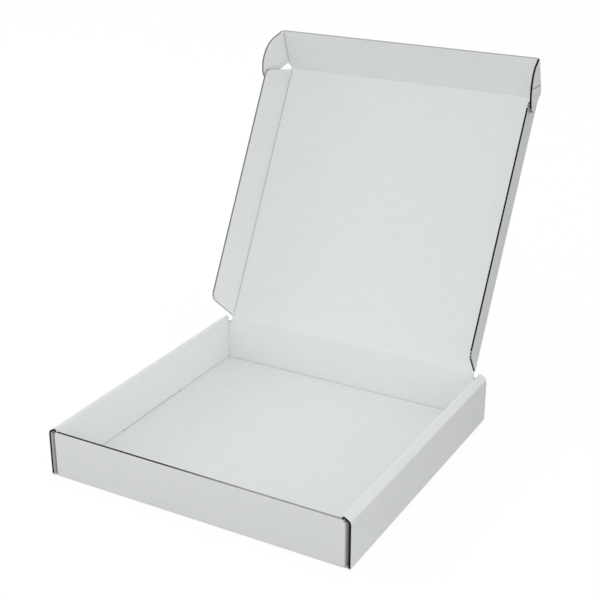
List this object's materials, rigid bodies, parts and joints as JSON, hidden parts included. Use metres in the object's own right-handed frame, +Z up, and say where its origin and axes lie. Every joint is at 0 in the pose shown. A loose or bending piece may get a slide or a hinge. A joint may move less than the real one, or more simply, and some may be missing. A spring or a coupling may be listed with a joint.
{
  "type": "mailer box",
  "caption": "White corrugated mailer box with rolled double side walls and a hinged lid that has side flaps and a tuck flap with ears.",
  "frame": {"origin": "middle of the tray's underside", "axes": "+Z up, +X across the width, -Y towards the front wall that the tuck flap goes behind"},
  "size_m": [0.327, 0.4504, 0.3605],
  "materials": {
    "white_board": "white-lined corrugated board, die cut and folded"
  },
  "bodies": {
    "tray": {"tray": "white_board"},
    "lid": {"lid": "white_board"},
    "left_side_flap": {"left_side_flap": "white_board"},
    "right_side_flap": {"right_side_flap": "white_board"},
    "tuck_flap": {"tuck_flap": "white_board"},
    "left_ear": {"left_ear": "white_board"},
    "right_ear": {"right_ear": "white_board"}
  },
  "joints": [
    {"name": "lid_hinge", "type": "hinge", "parent": "tray", "child": "lid", "pos_m": [0, 0.154, 0.0515], "axis": [-1, 0, 0], "range_deg": [-118, 62]},
    {"name": "left_side_flap_hinge", "type": "hinge", "parent": "lid", "child": "left_side_flap", "pos_m": [-0.149, 0.154, 0.0515], "axis": [0, -0.4695, -0.8829], "range_deg": [-12.55, 6.62]},
    {"name": "right_side_flap_hinge", "type": "hinge", "parent": "lid", "child": "right_side_flap", "pos_m": [0.149, 0.154, 0.0515], "axis": [0, 0.4695, 0.8829], "range_deg": [-12.55, 6.62]},
    {"name": "tuck_flap_hinge", "type": "hinge", "parent": "lid", "child": "tuck_flap", "pos_m": [0, 0.29437, 0.3155], "axis": [-1, 0, 0], "range_deg": [-46.05, 24.22]},
    {"name": "left_ear_hinge", "type": "hinge", "parent": "tuck_flap", "child": "left_ear", "pos_m": [-0.1524, 0.29437, 0.3155], "axis": [0, 0.309, -0.9511], "range_deg": [-9.05, 4.78]},
    {"name": "right_ear_hinge", "type": "hinge", "parent": "tuck_flap", "child": "right_ear", "pos_m": [0.1524, 0.29437, 0.3155], "axis": [0, -0.309, 0.9511], "range_deg": [-9.05, 4.78]}
  ],
  "couplings": [
    {"joint": "left_side_flap_hinge", "follows": "lid_hinge", "ratio": 0.10593},
    {"joint": "right_side_flap_hinge", "follows": "lid_hinge", "ratio": 0.10593},
    {"joint": "tuck_flap_hinge", "follows": "lid_hinge", "ratio": 0.38983},
    {"joint": "left_ear_hinge", "follows": "lid_hinge", "ratio": 0.076271},
    {"joint": "right_ear_hinge", "follows": "lid_hinge", "ratio": 0.076271}
  ]
}
